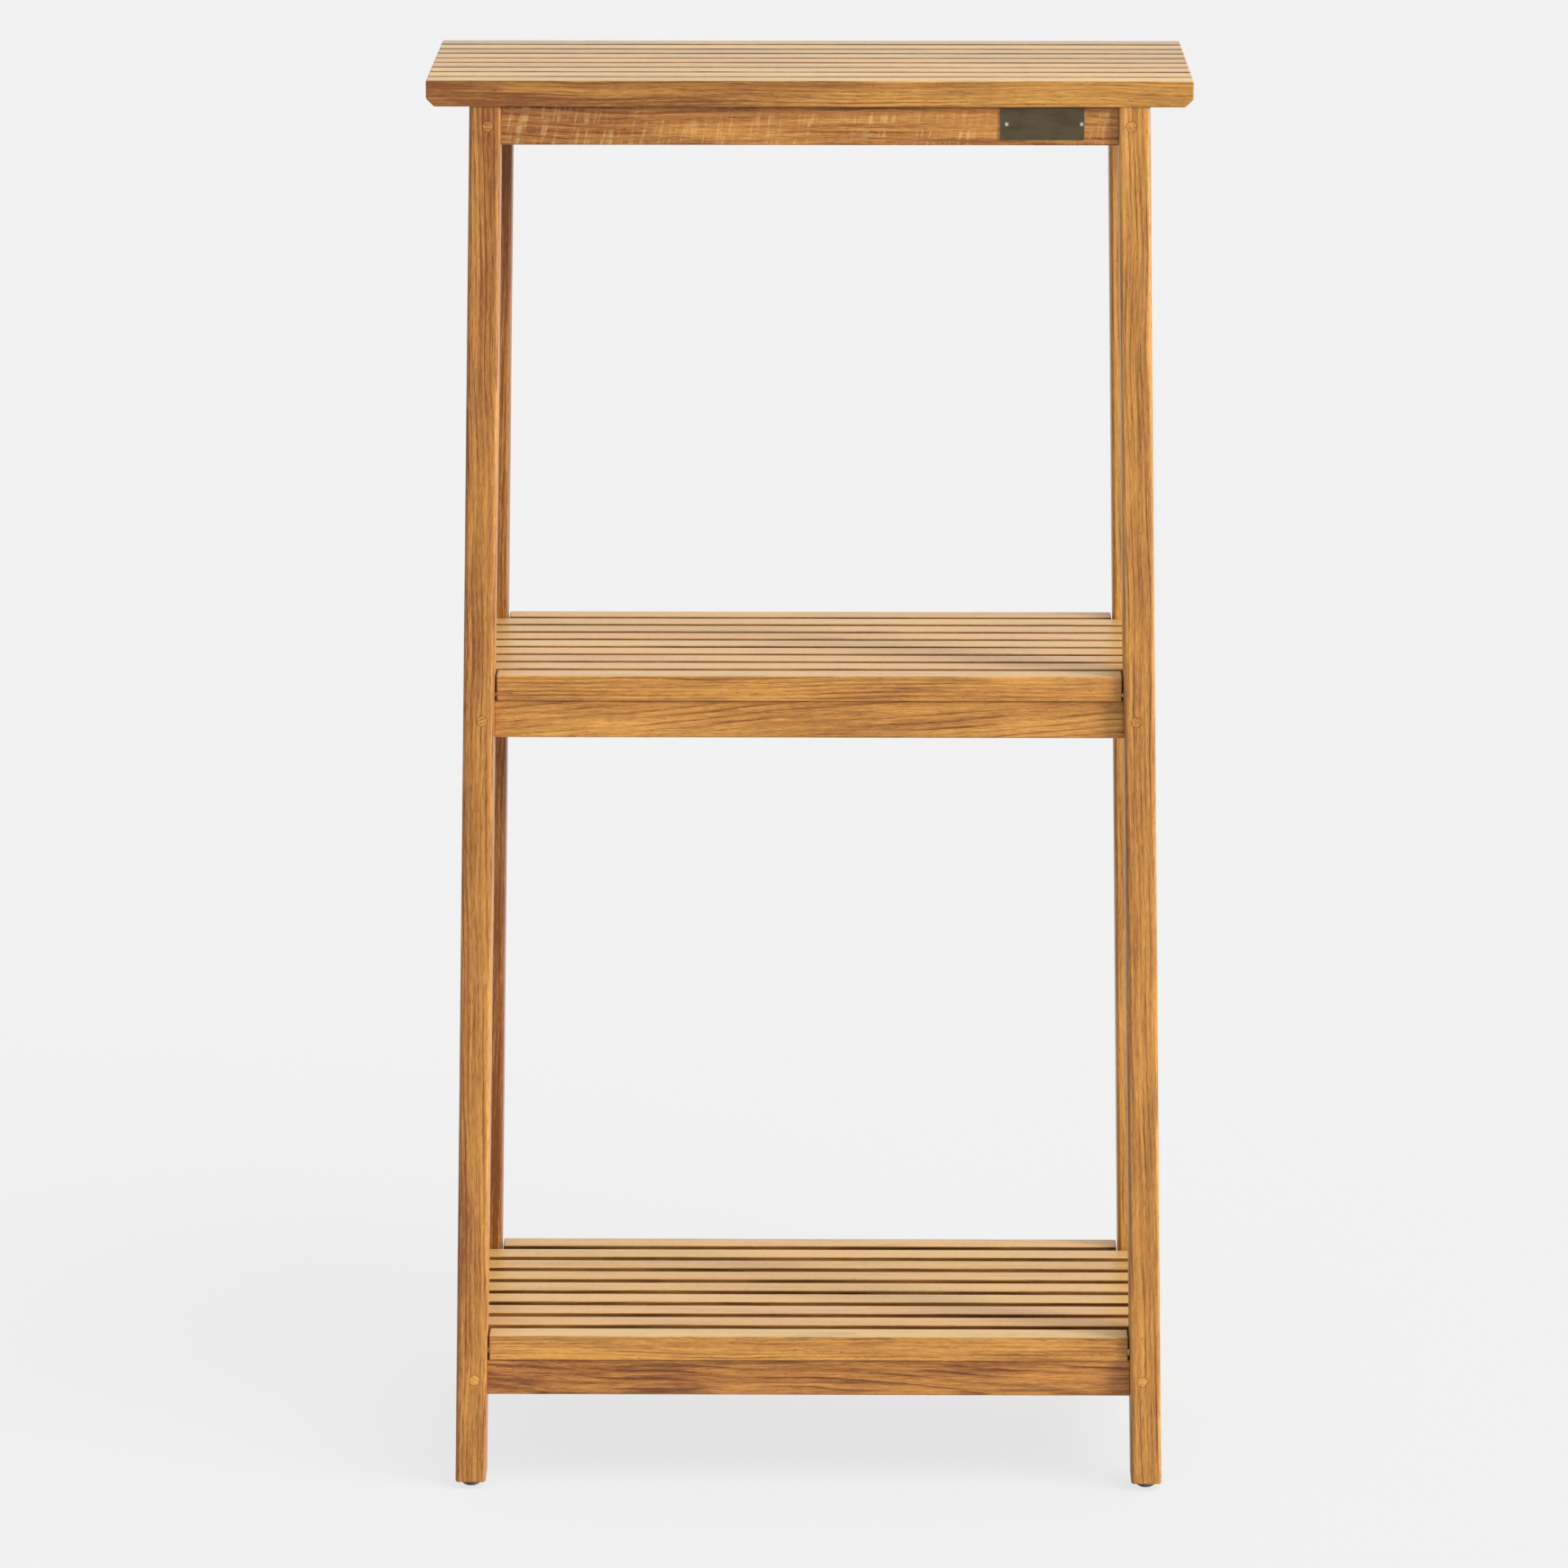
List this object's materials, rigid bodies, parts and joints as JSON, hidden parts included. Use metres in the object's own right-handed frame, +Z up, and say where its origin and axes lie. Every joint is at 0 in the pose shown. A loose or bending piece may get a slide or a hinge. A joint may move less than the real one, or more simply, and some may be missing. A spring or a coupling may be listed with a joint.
{
  "type": "plant stand",
  "caption": "Tall narrow plant stand with slatted wooden shelves on splayed legs, built with pinned mortise-and-tenon rails.",
  "frame": {"origin": "on the floor, midway between the four feet", "axes": "+Z up, +X to the right as seen from the front, +Y from the front to the rear"},
  "size_m": [0.58, 0.2648, 1.12],
  "materials": {
    "leg": "oiled teak, satin, grain along the leg",
    "rail": "oiled teak, satin, grain along the rail",
    "slat": "oiled teak, satin, grain along the slat",
    "pin": "teak dowel, end grain, sanded flush",
    "plate": "darkened bronze, brushed, with two bright tacks",
    "glide": "dark domed glide, satin"
  },
  "bodies": {
    "root": {"bottom_pin_front_left": "pin", "bottom_pin_front_right": "pin", "bottom_pin_rear_left": "pin", "bottom_pin_rear_right": "pin", "bottom_rail_front": "rail", "bottom_rail_left": "rail", "bottom_rail_rear": "rail", "bottom_rail_right": "rail", "bottom_slat_1": "slat", "bottom_slat_2": "slat", "bottom_slat_3": "slat", "bottom_slat_4": "slat", "bottom_slat_5": "slat", "bottom_slat_6": "slat", "bottom_slat_7": "slat", "bottom_slat_8": "slat", "bottom_slat_9": "slat", "glide_front_left": "glide", "glide_front_right": "glide", "glide_rear_left": "glide", "glide_rear_right": "glide", "leg_front_left": "leg", "leg_front_right": "leg", "leg_rear_left": "leg", "leg_rear_right": "leg", "middle_pin_front_left": "pin", "middle_pin_front_right": "pin", "middle_pin_rear_left": "pin", "middle_pin_rear_right": "pin", "middle_rail_front": "rail", "middle_rail_left": "rail", "middle_rail_rear": "rail", "middle_rail_right": "rail", "middle_slat_1": "slat", "middle_slat_2": "slat", "middle_slat_3": "slat", "middle_slat_4": "slat", "middle_slat_5": "slat", "middle_slat_6": "slat", "middle_slat_7": "slat", "middle_slat_8": "slat", "middle_slat_9": "slat", "nameplate": "plate", "top_pin_front_left": "pin", "top_pin_front_right": "pin", "top_pin_rear_left": "pin", "top_pin_rear_right": "pin", "top_rail_front": "rail", "top_rail_left": "rail", "top_rail_rear": "rail", "top_rail_right": "rail", "top_slat_1": "slat", "top_slat_2": "slat", "top_slat_3": "slat", "top_slat_4": "slat", "top_slat_5": "slat", "top_slat_6": "slat", "top_slat_7": "slat", "top_slat_8": "slat", "top_slat_9": "slat"}
  },
  "joints": []
}
